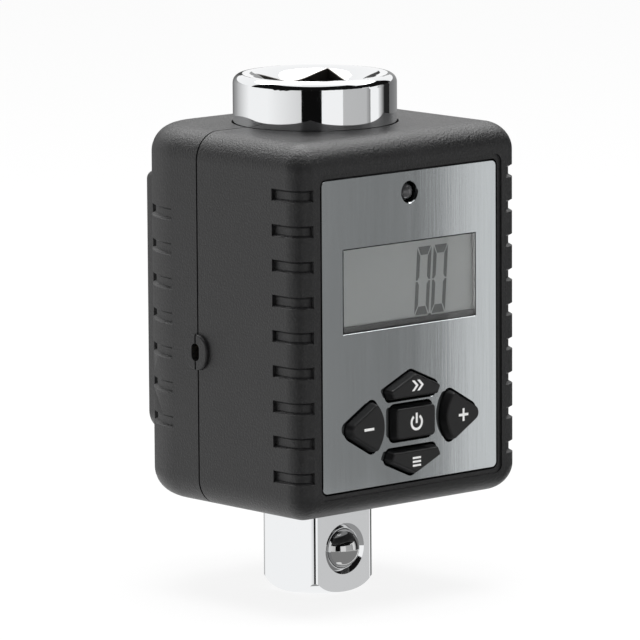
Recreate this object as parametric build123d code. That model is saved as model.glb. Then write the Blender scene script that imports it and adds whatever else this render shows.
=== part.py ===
from build123d import *
import os
from math import asin, cos, degrees, radians, sqrt, tan

# Digital torque adapter: an in-line meter that goes between a square-drive wrench and a socket.
# Millimetres. The shaft's axis is X = Y = 0, Z = 0 is the tip of the square drive and +Z points
# to the socket in the head. The display faces -Y, and +X is to the right of the display.

# --- Driving sizes --------------------------------------------------------------------------------
drive_square = 12.7         # across the flats of the square drive, the half-inch standard
drive_length = 15.7         # square drive below the housing
body_width = 46.2           # housing along X
body_height = 58.35         # housing along Z
front_depth = 22.0          # shaft axis to the front face
rear_depth = 19.8           # shaft axis to the flat of the back
head_height = 7.5           # head above the housing
wall = 2.0                  # shell wall
front_wall = 2.6            # shell wall behind the fascia

# --- Clearances -----------------------------------------------------------------------------------
seam_gap = 0.3              # dark line between the two shells
fit_gap = 0.1               # between pieces that are located in each other
screw_gap = 0.05            # screw in its hole, on the radius
running_gap = 0.06          # ball in its bore and plunger in its switch, on the radius
key_gap = 0.25              # key in its hole in the fascia
fascia_gap = 0.2            # gutter round the fascia
cover_gap = 0.15            # battery cover in its rebate

# --- Housing --------------------------------------------------------------------------------------
end_edge_r = 4.3            # edges round the top and the bottom
front_corner_r = 3.0
rear_corner_r = 12.0
seam_y = 1.6                # plane where the shells meet
tongue_thick = 0.9          # lip of the front shell that locates the rear shell
tongue_length = 1.5
collar_wall = 1.2           # rings moulded in the shells

groove_count = 9            # grip grooves on each front corner
rear_groove_count = 7       # grip grooves on each rear corner
groove_pitch = 5.44
groove_mouth = 1.9
groove_floor = 1.15
groove_depth = 0.6
groove_start = 6.2          # from the front face to the groove's end on the side
rear_groove_start = 0.1     # straight run before the rear corner
rear_groove_turn = 48.0     # degrees round the rear corner
middle_height = 28.8        # middle of the grips, the gauges and the battery bay, above the bottom

port_height = 24.3          # sound port above the housing's bottom
port_boss = (5.2, 5.6)      # oval boss along Y and Z
port_slot = (1.8, 2.7)
port_proud = 0.6

screw_inset = 5.0           # housing screws from the sides
screw_end_inset = 5.2       # housing screws from the top and the bottom
screw_r = 1.1
screw_head_r = 2.1
screw_head_thick = 1.6
screw_slot_half = (1.05, 0.275)    # arms of the cross in a screw's head
screw_slot_depth = 0.8
screw_seat_y = 6.0          # where a screw head sits in its tower
tower_r = 3.4               # screw towers in both shells
front_tower_length = 11.0

# --- Shaft ----------------------------------------------------------------------------------------
square_edge_r = 1.2         # long edges of the square drive
tip_flat_r = 4.8            # flat on the drive's tip
tip_round_r = 4.2           # turned rounding of the tip
lower_journal_r = 9.2
journal_recess = 0.3        # journal's end face above the housing's bottom
flange_r = 12.4
flange_across = 21.0        # flats that keep the housing from turning
flange_thick = 2.85
neck_r = 7.5
gauge_across = 12.0         # flats on the neck for the strain gauges
gauge_flat_length = 14.0
upper_journal_r = 11.3
head_r = 12.8
head_edge_r = 1.4
mouth_r = 7.2               # rounding of the socket's mouth
mouth_floor_r = 6.0
head_seat = 1.6             # head's shoulder below the housing's top
socket_clearance = 0.3      # socket's square over the drive's square
socket_depth = 16.0
socket_turn = -9.5          # degrees from the drive's square to the socket's
socket_floor_wall = 0.55    # shaft at full size below the socket

ball_r = 3.25
ball_height = 7.1           # ball's centre above the tip
lip_depth = 0.45
lip_thick = 0.17
lip_bite = 0.06             # lip's radius inside the ball's
ball_lip_gap = 0.03
dimple_r = 4.05             # chamfered ring round the ball
ball_bore_depth = 10.6
ball_spring_r = 2.2
ball_spring_wire_r = 0.3
ball_spring_turns = 5

# --- Seals and bearings between shaft and housing -------------------------------------------------
seal_gap = 0.05
head_gap = 0.25             # head in the housing's top hole
lower_gap = 0.25            # lower journal in the housing's bottom hole
lower_seal_r = 10.4
collar_seat_thick = 1.6
guide_gap = 0.3             # upper journal in its guide ring

# --- Fascia, display, lamp ------------------------------------------------------------------------
fascia_side = 4.85          # housing's side to the fascia
fascia_top = 5.7
fascia_bottom = 4.15
fascia_thick = 1.0
fascia_recess = 0.3         # below the front face
fascia_corner_r = 0.95
frame_width = 0.7           # step in the housing round the gutter
frame_depth = 0.3
frame_corner_r = 1.3
ledge_side = 1.75           # ledges that carry the fascia
ledge_end = 0.8

window_width = 27.6
window_height = 12.95
window_drop = 11.05         # fascia's top edge to the window
window_fit = 0.05
panel_size = (30.0, 17.2)
panel_thick = 1.9
panel_back_gap = 0.25       # behind the window
panel_rise = 0.1            # display glass above the window's centre
frame_wall = 1.1
frame_lip = 0.2
lip_height = 0.9            # lower lip that shows in the window
strip_height = 1.8
strip_inset = 0.35
strip_length = 27.4

lamp_r = 1.45
lamp_hole_r = 1.65
lamp_drop = 3.35            # fascia's top edge to the lamp
lamp_depth = 0.1            # dome behind the fascia's face
lamp_flange_r = 1.85
lamp_flange = 1.0

# --- Keys -----------------------------------------------------------------------------------------
pad_height = 9.45           # fascia's bottom edge to the middle of the keys
key_proud = 1.4
key_taper = 14.0
key_edge_r = 0.35
key_corner_r = 0.9
key_travel = 0.5
power_size = (8.6, 5.4)
upper_gap = 1.0             # power key to the upper key
lower_gap_z = 1.4           # power key to the lower key
end_key_width = 11.2        # upper and lower keys
end_key_height = 4.2
end_key_shoulder = 1.7      # shoulder above the key's base
end_key_base = 9.6
end_key_corner_r = 0.63     # all its corners but the apex
end_switch_rise = 1.8       # key's base to its switch
side_key_reach = 15.0       # tip of the plus and minus keys from the middle
side_key_corner = 8.0
side_key_bulge = 6.2
side_key_half = 4.15
side_tip_r = 1.5
ear = 0.6                   # retaining ears beyond the key's outline
ear_thick = 0.6
ear_width = 1.2
ear_gap = 0.1
stem_r = 1.3
switch_size = (4.6, 3.6)
switch_thick = 1.6
plunger_r = 0.8
plunger_proud = 0.7
plunger_length = 1.3
side_switch_x = 9.6

# --- Circuit board --------------------------------------------------------------------------------
board_front = 5.8           # front face of the housing to the front of the board
board_thick = 1.6
board_edge_gap = 0.4
board_corner_r = 2.5
board_screw_inset = 4.6     # board screws from the housing's sides
board_screw_end = 4.3
board_screw_r = 0.9
board_screw_head_r = 1.8
board_screw_head = 1.3
board_screw_length = 4.2
board_screw_slot_half = 0.2
board_screw_slot_depth = 0.65
board_boss_r = 2.2

controller_size = (7.0, 1.1, 7.0)
amplifier_size = (4.0, 1.3, 5.0)
crystal_size = (3.2, 1.2, 1.5)
capacitor_size = (1.6, 0.9, 0.9)
capacitor_pitch = 2.25
chip_rise = 8.0             # controller above the middle of the fascia
amplifier_drop = 5.0        # amplifier below it
beside_chip = 5.0           # amplifier's middle to the capacitors
beside_controller = 7.0     # controller's middle to the crystal

buzzer_r = 5.0
buzzer_thick = 2.4
buzzer_wall_gap = 0.3
buzzer_ring = 0.9
buzzer_ring_depth = 2.2
buzzer_edge_r = 0.4

gauge_size = (0.15, 6.0, 9.0)
gauge_lead_drop = 2.25      # gauge's middle to its lead
lead_r = 0.5
arc_share = 0.45            # part of the shorter run that a bend's tangent takes

# --- Cells, contacts and battery cover ------------------------------------------------------------
cell_r = 6.0
cell_length = 30.2
cell_nub_r = 2.4
cell_nub = 1.2
cell_edge_r = 0.4
cell_pitch = 12.5
cell_proud = 3.5            # cells beyond the flat of the back
cell_gap = 0.2              # cell to the floor and the cover
floor_thick = 0.9
bay_side_gap = 0.35
contact_thick = 0.5
spring_length = 4.6
cell_spring_wire_r = 0.3
cell_spring_r = 3.4
cell_spring_turns = 3
contact_width = 9.0
tail_width = 3.0
tail_length = 5.2
slot_gap = 0.2

cover_wall = 0.8
cover_top_half = 14.1       # half width of the hump's flat
cover_slope = 1.5           # how far the hump's sides lean in
cover_corner_r = 2.5        # upper corners of the hump
cover_low_corner_r = 4.5
cover_edge_r = 1.0
cover_end_margin = 4.1      # battery bay's end to the hump's end
cover_swing_gap = 0.5       # hollow of the cover past the contacts, so that it swings clear
grip_count = 4              # thumb grooves across the top of the hump
grip_pitch = 1.7
grip_width = 0.9
grip_depth = 0.35
grip_half = 6.5             # half their length
grip_inset = 4.5            # hump's top end to the first groove
rebate = 1.0
hook_x = 7.0
hook_width = 4.0
hook_thick = 0.9
hook_leg = 1.0
hook_reach = 1.5            # hook under the rear wall
hook_gap = 0.2
hook_slot = 3.6

# --- Places worked out from the sizes -------------------------------------------------------------
half_w = body_width / 2
body_bottom = drive_length
body_top = body_bottom + body_height
head_top = body_top + head_height
front_inner = -front_depth + front_wall
rear_inner = rear_depth - wall
front_edge = seam_y - seam_gap / 2
rear_edge = seam_y + seam_gap / 2
tongue_end = rear_edge + tongue_length
fascia_half = half_w - fascia_side
fascia_low = body_bottom + fascia_bottom
fascia_high = body_top - fascia_top
middle_z = body_bottom + middle_height
fascia_front = -front_depth + fascia_recess
fascia_back = fascia_front + fascia_thick
window_high = fascia_high - window_drop
window_low = window_high - window_height
panel_front = fascia_back + panel_back_gap
panel_back = panel_front + panel_thick
panel_z = (window_low + window_high) / 2 + panel_rise
board_y = -front_depth + board_front
board_back = board_y + board_thick
pad_z = fascia_low + pad_height
port_z = body_bottom + port_height
lamp_z = fascia_high - lamp_drop

flange_low = body_bottom + wall + collar_seat_thick + seal_gap
flange_high = flange_low + flange_thick
shoulder_z = body_top - head_seat
socket_floor = head_top - socket_depth
journal_low = socket_floor - socket_floor_wall
neck_high = journal_low - (upper_journal_r - neck_r)
socket_square = drive_square + socket_clearance

bay_half = cell_pitch / 2 + cell_r + bay_side_gap
cell_y = rear_depth + cell_proud - cell_r
bay_floor = cell_y - cell_r - cell_gap
bay_length = cell_length + spring_length + 2 * contact_thick
bay_low = middle_z - bay_length / 2
bay_high = middle_z + bay_length / 2
cover_inner = cell_y + cell_r + cell_gap
cover_outer = cover_inner + cover_wall
cover_half = cover_top_half + cover_slope
cover_low = bay_low - cover_end_margin
cover_high = bay_high + cover_end_margin
rebate_floor = rear_depth - rebate + fit_gap / 2

ball_y = -drive_square / 2 + lip_depth + lip_thick + sqrt(
    ball_r ** 2 - (ball_r - lip_bite - ball_lip_gap) ** 2)
ball_bore_end = -drive_square / 2 + ball_bore_depth


# --- Helpers --------------------------------------------------------------------------------------
def block(x0, x1, y0, y1, z0, z1):
    """A box between two corners."""
    return Pos((x0 + x1) / 2, (y0 + y1) / 2, (z0 + z1) / 2) * Box(x1 - x0, y1 - y0, z1 - z0)


def rod_x(r, x0, x1, y, z):
    """A round bar along X."""
    return Pos((x0 + x1) / 2, y, z) * Rot(0, 90, 0) * Cylinder(r, x1 - x0)


def rod_y(r, y0, y1, x, z):
    """A round bar along Y."""
    return Pos(x, (y0 + y1) / 2, z) * Rot(90, 0, 0) * Cylinder(r, y1 - y0)


def rod_z(r, z0, z1, x=0.0, y=0.0):
    """A round bar along Z."""
    return Pos(x, y, (z0 + z1) / 2) * Cylinder(r, z1 - z0)


def facing(y):
    """The plane at this Y that looks to the front, with X to the right and Z up."""
    return Plane(origin=(0, y, 0), x_dir=(1, 0, 0), z_dir=(0, -1, 0))


def facing_back(y):
    """The plane at this Y that looks to the back, with Z up."""
    return Plane(origin=(0, y, 0), x_dir=(-1, 0, 0), z_dir=(0, 1, 0))


def prism(outline, y_back, y_front, taper=0.0):
    """An outline in X and Z, extruded from its back to its front."""
    return extrude(facing(y_back) * outline, amount=y_back - y_front, taper=taper)


def rounded_box(x0, x1, y0, y1, z0, z1, r):
    """A box with its edges along Y rounded."""
    outline = Pos((x0 + x1) / 2, (z0 + z1) / 2) * RectangleRounded(x1 - x0, z1 - z0, r)
    return prism(outline, y1, y0)


def rounded_outline(points, radii, *closing):
    """A face from corner points, each with its own rounding, closed by a line or the given edge."""
    edges = Polyline(*points) + (closing[0] if closing else Line(points[-1], points[0]))
    face = make_face(edges)
    for point, r in zip(points, radii):
        corner = face.vertices().sort_by_distance((*point, 0))[0]
        face = fillet(corner, r)
    return face


def housing_form(inset):
    """The housing's outer shape, moved in by a wall."""
    half = half_w - inset
    form = block(-half, half, -front_depth + inset, rear_depth - inset,
                 body_bottom + inset, body_top - inset)
    fronts = form.edges().filter_by(Axis.Z).group_by(Axis.Y)[0]
    form = fillet(fronts, front_corner_r - inset)
    rears = form.edges().filter_by(Axis.Z).group_by(Axis.Y)[-1]
    form = fillet(rears, rear_corner_r - inset)
    levels = form.edges().group_by(Axis.Z)
    return fillet(levels[0] + levels[-1], end_edge_r - inset)


def corner_points(x_inset, end_inset):
    """Four places near the housing's corners, seen from the front."""
    x = half_w - x_inset
    return [(sx * x, z) for sx in (-1, 1) for z in (body_bottom + end_inset, body_top - end_inset)]


def keep_front(shape):
    """The part of a shape that belongs to the front shell."""
    return shape & block(-body_width, body_width, -body_width, front_edge, 0, 2 * body_top)


def keep_rear(shape):
    """The part of a shape that belongs to the rear shell."""
    return shape & block(-body_width, body_width, rear_edge, body_width, 0, 2 * body_top)


def both_sides(shape):
    """A shape and its mirror image across the middle plane."""
    return [shape, mirror(shape, Plane.YZ)]


def groove_cutter(start_y, corner_y, corner_x, r, turn):
    """One grip groove: a trapezoid that runs along the side and round the corner."""
    heading = -1 if corner_y < start_y else 1
    side = Line((corner_x + r, start_y), (corner_x + r, corner_y))
    bend = CenterArc((corner_x, corner_y), r, 0, heading * turn)
    outline = Polyline((-groove_depth, -groove_floor / 2), (-groove_depth, groove_floor / 2),
                       (0, groove_mouth / 2), (groove_depth, groove_mouth / 2),
                       (groove_depth, -groove_mouth / 2), (0, -groove_mouth / 2), close=True)
    section = Plane(origin=(corner_x + r, start_y, 0), x_dir=(1, 0, 0), z_dir=(0, heading, 0))
    return sweep(section * make_face(outline), path=side + bend)


def grooves(cutter, count):
    """Copies of a groove up both corners."""
    first = middle_z - groove_pitch * (count - 1) / 2
    return [Pos(0, 0, first + i * groove_pitch) * s for i in range(count) for s in both_sides(cutter)]


def lead(points):
    """A thin insulated wire: straight runs joined by the widest arcs that the runs allow."""
    steps = [Vector(*b) - Vector(*a) for a, b in zip(points, points[1:])]
    radii = [arc_share * min(a.length, b.length) / tan(radians(a.get_angle(b)) / 2)
             for a, b in zip(steps, steps[1:])]
    print("lead radii", [round(r, 2) for r in radii])
    path = FilletPolyline(*points, radius=radii)
    return sweep(Plane(origin=points[0], z_dir=steps[0]) * Circle(lead_r), path=path)


def spring(r, wire_r, length, turns):
    """A compression spring along Z from Z = 0, with its wire inside the length."""
    rise = length - 2 * wire_r
    coil = Helix(pitch=rise / turns, height=rise, radius=r)
    start = Plane(origin=coil @ 0, z_dir=coil % 0)
    return Pos(0, 0, wire_r) * sweep(start * Circle(wire_r), path=coil, is_frenet=True)


# --- Shaft ----------------------------------------------------------------------------------------
def turned_shaft():
    """Everything on the shaft that is turned, with the rounded mouth of the socket."""
    rim_x = head_r - head_edge_r
    low = body_bottom + journal_recess
    mouth_turn = degrees(asin((rim_x - mouth_floor_r) / mouth_r))
    side = Polyline((0, low), (lower_journal_r, low), (lower_journal_r, flange_low + flange_thick / 2),
                    (neck_r, flange_low + flange_thick / 2), (neck_r, neck_high),
                    (upper_journal_r, journal_low), (upper_journal_r, shoulder_z),
                    (head_r, shoulder_z), (head_r, head_top - head_edge_r))
    rim = CenterArc((rim_x, head_top - head_edge_r), head_edge_r, 0, 90)
    mouth = CenterArc((rim_x, head_top - mouth_r), mouth_r, 90, mouth_turn)
    close = Polyline(mouth @ 1, (0, (mouth @ 1).Y), (0, low))
    return revolve(Plane.XZ * make_face(side + rim + mouth + close), Axis.Z)


def make_drive_shaft():
    shaft = turned_shaft()
    flange = rod_z(flange_r, flange_low, flange_high)
    half_flat = flange_across / 2
    flange &= block(-half_flat, half_flat, -half_flat, half_flat, flange_low, flange_high)
    shaft += flange

    bar = extrude(RectangleRounded(drive_square, drive_square, square_edge_r),
                  body_bottom + journal_recess)
    outer_r = tip_flat_r + tip_round_r
    outline = (Polyline((0, 0), (tip_flat_r, 0))
               + CenterArc((tip_flat_r, tip_round_r), tip_round_r, -90, 90)
               + Polyline((outer_r, tip_round_r), (outer_r, body_top), (0, body_top), (0, 0)))
    shaft += bar & revolve(Plane.XZ * make_face(outline), Axis.Z)

    flat_low = middle_z - gauge_flat_length / 2
    flat = block(gauge_across / 2, neck_r + 1, -neck_r, neck_r, flat_low, flat_low + gauge_flat_length)
    shaft -= both_sides(flat)

    hole = extrude(Rectangle(socket_square, socket_square), 2 * socket_depth)
    shaft -= Pos(0, 0, socket_floor) * Rot(0, 0, socket_turn) * hole

    face = -drive_square / 2
    lip_r = ball_r - lip_bite
    ring = Pos(0, face + lip_depth / 2, ball_height) * Rot(90, 0, 0) * Cone(
        lip_r + 2 * lip_bite, dimple_r, lip_depth)
    shaft -= ring
    shaft -= rod_y(lip_r, face, face + lip_depth + lip_thick, 0, ball_height)
    shaft -= rod_y(ball_r + running_gap, face + lip_depth + lip_thick, ball_bore_end, 0, ball_height)
    return shaft


def make_detent_ball():
    return Pos(0, ball_y, ball_height) * Sphere(ball_r)


def make_detent_spring():
    start = ball_y + sqrt(ball_r ** 2 - (ball_spring_r - ball_spring_wire_r) ** 2) + seal_gap
    coil = spring(ball_spring_r, ball_spring_wire_r, ball_bore_end - start, ball_spring_turns)
    return Pos(0, start, ball_height) * Rot(-90, 0, 0) * coil


def make_strain_gauges():
    thick, width, height = gauge_size
    x = gauge_across / 2
    return both_sides(block(x, x + thick, -width / 2, width / 2,
                            middle_z - height / 2, middle_z + height / 2))


# --- Shells ---------------------------------------------------------------------------------------
def shaft_fixtures():
    """Rings and walls in both shells that carry the shaft, the seals and the buzzer."""
    hole_r = head_r + head_gap
    guide_low = shoulder_z - seal_gap - 2 * collar_wall
    upper = rod_z(hole_r + collar_wall, guide_low, body_top - wall + fit_gap)
    upper -= rod_z(upper_journal_r + guide_gap, guide_low, body_top)
    upper -= rod_z(hole_r, guide_low + collar_wall, body_top)

    inner = flange_across / 2 + fit_gap
    outer = inner + collar_wall
    floor = body_bottom + wall - fit_gap
    saddle = block(-outer, outer, -outer, outer, floor, flange_high)
    saddle -= block(-inner, inner, -inner, inner, floor, flange_high)

    wall_x = -half_w + wall
    ring = rod_x(buzzer_r + fit_gap + buzzer_ring, wall_x - fit_gap, wall_x + buzzer_ring_depth,
                 seam_y, port_z)
    ring -= rod_x(buzzer_r + fit_gap, wall_x - fit_gap, wall_x + buzzer_ring_depth, seam_y, port_z)
    return [upper, saddle, ring]


def port_parts():
    """The oval boss of the sound port, and the slot through it."""
    side = Plane(origin=(-half_w + fit_gap, seam_y, port_z), x_dir=(0, 1, 0), z_dir=(-1, 0, 0))
    width, height = port_boss
    boss = extrude(side * RectangleRounded(width, height, width / 2 - fit_gap), port_proud + fit_gap)
    rim = boss.edges().group_by(Axis.X)[0]
    boss = fillet(rim, port_proud / 2)
    slot_w, slot_h = port_slot
    slot = extrude(side * RectangleRounded(slot_w, slot_h, slot_w / 2 - fit_gap),
                   wall + port_proud, both=True)
    return boss, slot


def shaft_holes():
    """The housing's top and bottom holes for the shaft."""
    return [rod_z(head_r + head_gap, body_top - wall - fit_gap, body_top + wall),
            rod_z(lower_journal_r + lower_gap, body_bottom - wall, body_bottom + wall + fit_gap)]


def make_front_shell():
    boss, slot = port_parts()
    shell = keep_front(housing_form(0))
    shell -= housing_form(wall) & block(-half_w, half_w, front_inner, rear_depth, 0, body_top)
    shell += keep_front(boss)
    cutter = groove_cutter(-front_depth + groove_start, -front_depth + front_corner_r,
                           half_w - front_corner_r, front_corner_r, 90)
    shell -= grooves(cutter, groove_count)

    tongue = housing_form(wall - tongue_thick) - housing_form(wall)
    shell += tongue & block(-half_w, half_w, front_edge - tongue_length, tongue_end, 0, body_top)

    gutter = fascia_half + fascia_gap
    low = fascia_low - fascia_gap
    high = fascia_high + fascia_gap
    shell -= rounded_box(-gutter, gutter, -2 * front_depth, fascia_back, low, high,
                         fascia_corner_r + fascia_gap)
    frame = gutter + frame_width
    shell -= rounded_box(-frame, frame, -2 * front_depth, -front_depth + frame_depth, low - frame_width,
                         high + frame_width, frame_corner_r)
    inner = gutter - ledge_side
    shell -= rounded_box(-inner, inner, -front_depth, front_inner + fit_gap, low + ledge_end,
                         high - ledge_end, fascia_corner_r)

    for x, z in corner_points(board_screw_inset, board_screw_end):
        shell += rod_y(board_boss_r, front_inner - fit_gap, board_y, x, z)
        shell -= rod_y(board_screw_r + screw_gap, front_inner + fit_gap, board_y, x, z)
    for x, z in corner_points(screw_inset, screw_end_inset):
        tower = rod_y(tower_r, front_edge - front_tower_length, front_edge, x, z)
        shell += tower & housing_form(wall / 2)
        shell -= rod_y(screw_r + screw_gap, front_edge - front_tower_length + wall, front_edge, x, z)

    for fixture in shaft_fixtures():
        shell += keep_front(fixture)
    shell -= shaft_holes()
    shell -= slot
    return shell


def cover_outline(grow):
    """The battery cover seen from the back. Its lower corners are rounder than the upper ones."""
    half = cover_half + grow
    low, high = cover_low - grow, cover_high + grow
    lower_r, upper_r = cover_low_corner_r + grow, cover_corner_r + grow
    return rounded_outline([(-half, low), (half, low), (half, high), (-half, high)],
                           (lower_r, lower_r, upper_r, upper_r))


def make_rear_shell():
    boss, slot = port_parts()
    shell = keep_rear(housing_form(0))
    shell -= housing_form(wall)
    shell += keep_rear(boss)
    cutter = groove_cutter(rear_depth - rear_corner_r - rear_groove_start, rear_depth - rear_corner_r,
                           half_w - rear_corner_r, rear_corner_r, rear_groove_turn)
    shell -= grooves(cutter, rear_groove_count)

    tray_half = bay_half + floor_thick
    shell += block(-tray_half, tray_half, bay_floor - floor_thick, rear_inner + fit_gap,
                   bay_low - floor_thick, bay_high + floor_thick)
    shell -= block(-bay_half, bay_half, bay_floor, 2 * rear_depth, bay_low, bay_high)
    shell -= extrude(facing_back(rear_depth - rebate) * cover_outline(cover_gap), rear_depth)
    for x in (-hook_x, hook_x):
        slot_half = hook_width / 2 + hook_gap
        shell -= block(x - slot_half, x + slot_half, rear_inner - fit_gap, rear_depth,
                       cover_low, cover_low + hook_slot)
    for x in (-cell_pitch / 2, cell_pitch / 2):
        slot_half = tail_width / 2 + slot_gap
        shell -= block(x - slot_half, x + slot_half, bay_floor - 2 * floor_thick, bay_floor,
                       bay_high - contact_thick - slot_gap, bay_high)

    for x, z in corner_points(screw_inset, screw_end_inset):
        tower = rod_y(tower_r, rear_edge, rear_depth, x, z)
        shell += tower & housing_form(wall / 2)
        shell -= rod_y(screw_head_r + fit_gap, screw_seat_y, 2 * rear_depth, x, z)
        shell -= rod_y(screw_r + screw_gap, 0, screw_seat_y, x, z)

    for fixture in shaft_fixtures():
        shell += keep_rear(fixture)
    rebate_ring = housing_form(wall - tongue_thick - fit_gap) - housing_form(wall + fit_gap)
    shell -= rebate_ring & block(-half_w, half_w, 0, tongue_end, 0, body_top)
    shell -= shaft_holes()
    shell -= slot
    return shell


def make_housing_screws():
    screws = []
    tip = front_edge - front_tower_length + 2 * wall
    for x, z in corner_points(screw_inset, screw_end_inset):
        head = rod_y(screw_head_r, screw_seat_y, screw_seat_y + screw_head_thick, x, z)
        head = fillet(head.edges().group_by(Axis.Y)[-1], screw_head_thick / 4)
        along, across = screw_slot_half
        slot_y = screw_seat_y + screw_head_thick - screw_slot_depth
        slots = [block(x - dx, x + dx, slot_y, rear_depth, z - dz, z + dz)
                 for dx, dz in ((along, across), (across, along))]
        screws.append(head - slots + rod_y(screw_r, tip, screw_seat_y, x, z))
    return screws


def make_upper_seal():
    low = shoulder_z - seal_gap - collar_wall
    ring = rod_z(head_r + head_gap - seal_gap, low, shoulder_z - seal_gap)
    return ring - rod_z(upper_journal_r + seal_gap, low, shoulder_z)


def make_lower_seal():
    low = body_bottom + wall
    ring = rod_z(lower_seal_r, low, flange_low - seal_gap)
    return ring - rod_z(lower_journal_r + seal_gap, low, flange_low)


# --- Fascia, display and lamp ---------------------------------------------------------------------
def power_outline():
    return Pos(0, pad_z) * RectangleRounded(*power_size, key_corner_r)


def end_key_outline(base_z, up):
    """The upper or lower key: a low gable with its apex away from the power key."""
    base = end_key_base / 2
    side = end_key_width / 2
    points = [(-base, 0), (-side, end_key_shoulder), (0, end_key_height), (side, end_key_shoulder),
              (base, 0)]
    points = [(x, base_z + up * z) for x, z in points]
    low_r = end_key_corner_r
    return rounded_outline(points, (low_r, low_r, key_corner_r, low_r, low_r))


def side_key_outline(side):
    """The plus or minus key: a rounded arrowhead with a bowed inner edge."""
    top = (side * side_key_corner, pad_z + side_key_half)
    tip = (side * side_key_reach, pad_z)
    bottom = (side * side_key_corner, pad_z - side_key_half)
    bow = ThreePointArc(bottom, (side * side_key_bulge, pad_z), top)
    return rounded_outline([top, tip, bottom], (key_corner_r, side_tip_r, key_corner_r), bow)


upper_base = pad_z + power_size[1] / 2 + upper_gap
lower_base = pad_z - power_size[1] / 2 - lower_gap_z

# Each key: its outline, the place of its switch, and its retaining ears as (along, place across).
keys = {
    "power": (power_outline(), (0, pad_z), [("x", pad_z)]),
    "upper": (end_key_outline(upper_base, 1), (0, upper_base + end_switch_rise),
              [("x", upper_base + end_key_shoulder / 2)]),
    "lower": (end_key_outline(lower_base, -1), (0, lower_base - end_switch_rise),
              [("x", lower_base - end_key_shoulder / 2)]),
    "plus": (side_key_outline(1), (side_switch_x, pad_z), [("z", side_key_corner + ear_width / 2)]),
    "minus": (side_key_outline(-1), (-side_switch_x, pad_z), [("z", -side_key_corner - ear_width / 2)]),
}


def make_fascia():
    plate = rounded_box(-fascia_half, fascia_half, fascia_front, fascia_back, fascia_low, fascia_high,
                        fascia_corner_r)
    half = window_width / 2
    plate -= block(-half, half, -front_depth, front_inner, window_low, window_high)
    plate -= rod_y(lamp_hole_r, -front_depth, front_inner, 0, lamp_z)
    for outline, _, _ in keys.values():
        plate -= prism(offset(outline, key_gap), front_inner, -front_depth)
    return plate


def make_display_window():
    half = window_width / 2 - window_fit
    return block(-half, half, fascia_front, fascia_back, window_low + window_fit, window_high - window_fit)


def make_display_panel():
    width, height = panel_size
    return block(-width / 2, width / 2, panel_front, panel_back, panel_z - height / 2,
                 panel_z + height / 2)


def strip_box(side, x_half, grow):
    """The space of a contact strip at the top (1) or the bottom (-1) of the display."""
    outer = panel_size[1] / 2 - strip_inset
    z = panel_z + side * (outer - strip_height / 2)
    half = strip_height / 2 + grow
    return block(-x_half, x_half, panel_back, board_y, z - half, z + half)


def make_display_frame():
    width, height = panel_size
    half = width / 2 + fit_gap
    rise = height / 2 + fit_gap
    frame = block(-half - frame_wall, half + frame_wall, panel_front, board_y,
                  panel_z - rise - frame_wall, panel_z + rise + frame_wall)
    frame -= block(-half, half, panel_front, panel_back, panel_z - rise, panel_z + rise)
    for side in (-1, 1):
        frame -= strip_box(side, strip_length / 2 + fit_gap, fit_gap)
    well = rise - strip_inset - strip_height - frame_wall
    frame -= block(-strip_length / 2, strip_length / 2, panel_front, board_y, panel_z - well,
                   panel_z + well)
    frame += block(-half - frame_wall, half + frame_wall, panel_front - frame_lip, panel_front,
                   panel_z - rise - frame_wall, window_low + lip_height)
    return frame


def make_contact_strips():
    return [strip_box(side, strip_length / 2, 0) for side in (-1, 1)]


def make_status_lamp():
    top = fascia_front + lamp_depth
    lamp = rod_y(lamp_r, top + lamp_r, board_y, 0, lamp_z)
    lamp += Pos(0, top + lamp_r, lamp_z) * Sphere(lamp_r)
    return lamp + rod_y(lamp_flange_r, board_y - lamp_flange, board_y, 0, lamp_z)


# --- Keys and switches ----------------------------------------------------------------------------
plunger_tip = board_y - switch_thick - plunger_proud
plunger_end = plunger_tip + plunger_length


def make_key(name):
    outline, (switch_x, switch_z), ears = keys[name]
    ear_front = fascia_back + ear_gap
    ear_back = ear_front + ear_thick
    cap = prism(outline, fascia_front, fascia_front - key_proud, key_taper)
    cap = fillet(cap.faces().sort_by(Axis.Y)[0].edges(), key_edge_r)
    key = cap + prism(outline, ear_back, fascia_front)
    box = key.bounding_box()
    for along, place in ears:
        x0, x1 = box.min.X - ear, box.max.X + ear
        z0, z1 = place - ear_width / 2, place + ear_width / 2
        if along == "z":
            x0, x1 = place - ear_width / 2, place + ear_width / 2
            z0, z1 = box.min.Z - ear, box.max.Z + ear
        key += block(x0, x1, ear_front, ear_back, z0, z1)
    return key + rod_y(stem_r, ear_back, plunger_tip, switch_x, switch_z)


def make_plunger(name):
    x, z = keys[name][1]
    return rod_y(plunger_r, plunger_tip, plunger_end, x, z)


def make_key_switches():
    width, height = switch_size
    front = board_y - switch_thick
    switches = []
    for _, (x, z), _ in keys.values():
        body = block(x - width / 2, x + width / 2, front, board_y, z - height / 2, z + height / 2)
        body -= rod_y(plunger_r + running_gap, front, plunger_end + key_travel + fit_gap, x, z)
        switches.append(body)
    return switches


# --- Circuit board --------------------------------------------------------------------------------
def make_main_board():
    half = half_w - wall - board_edge_gap
    low = body_bottom + wall + board_edge_gap
    high = body_top - wall - board_edge_gap
    board = rounded_box(-half, half, board_y, board_back, low, high, board_corner_r)
    for x, z in corner_points(board_screw_inset, board_screw_end):
        board -= rod_y(board_screw_r + screw_gap, board_y, board_back, x, z)
    return board


def make_board_screws():
    screws = []
    for x, z in corner_points(board_screw_inset, board_screw_end):
        head = rod_y(board_screw_head_r, board_back, board_back + board_screw_head, x, z)
        back = board_back + board_screw_head
        slot = block(x - board_screw_head_r, x + board_screw_head_r, back - board_screw_slot_depth,
                     back, z - board_screw_slot_half, z + board_screw_slot_half)
        screws.append(head - slot + rod_y(board_screw_r, board_back - board_screw_length, board_back, x, z))
    return screws


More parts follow.
